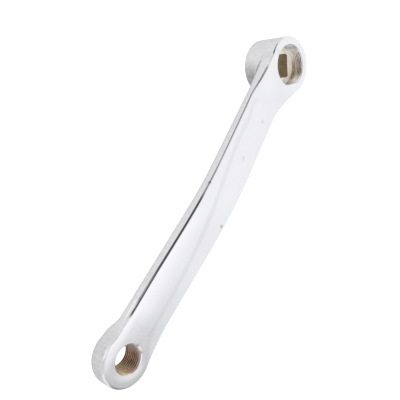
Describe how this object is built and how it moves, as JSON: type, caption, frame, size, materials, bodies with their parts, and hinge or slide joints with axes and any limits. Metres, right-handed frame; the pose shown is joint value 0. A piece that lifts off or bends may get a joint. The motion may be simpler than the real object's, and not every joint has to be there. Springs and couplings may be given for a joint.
{
  "type": "bicycle crank arm",
  "caption": "Chrome-plated forged steel crank arm, gently bowed, with a square tapered spindle socket in a round boss at one end and a threaded pedal eye at the other.",
  "frame": {"origin": "on the spindle axis, in the inner end face of the spindle boss, where the spindle enters its socket", "axes": "+Z along the spindle axis, towards the outer face of the arm; +X from the spindle axis towards the pedal axis"},
  "size_m": [0.199, 0.0304, 0.0231],
  "materials": {
    "chrome_plate": "bright chrome plate on forged steel, worn to bare metal in the holes"
  },
  "bodies": {
    "root": {"crank_arm": "chrome_plate"}
  },
  "joints": []
}
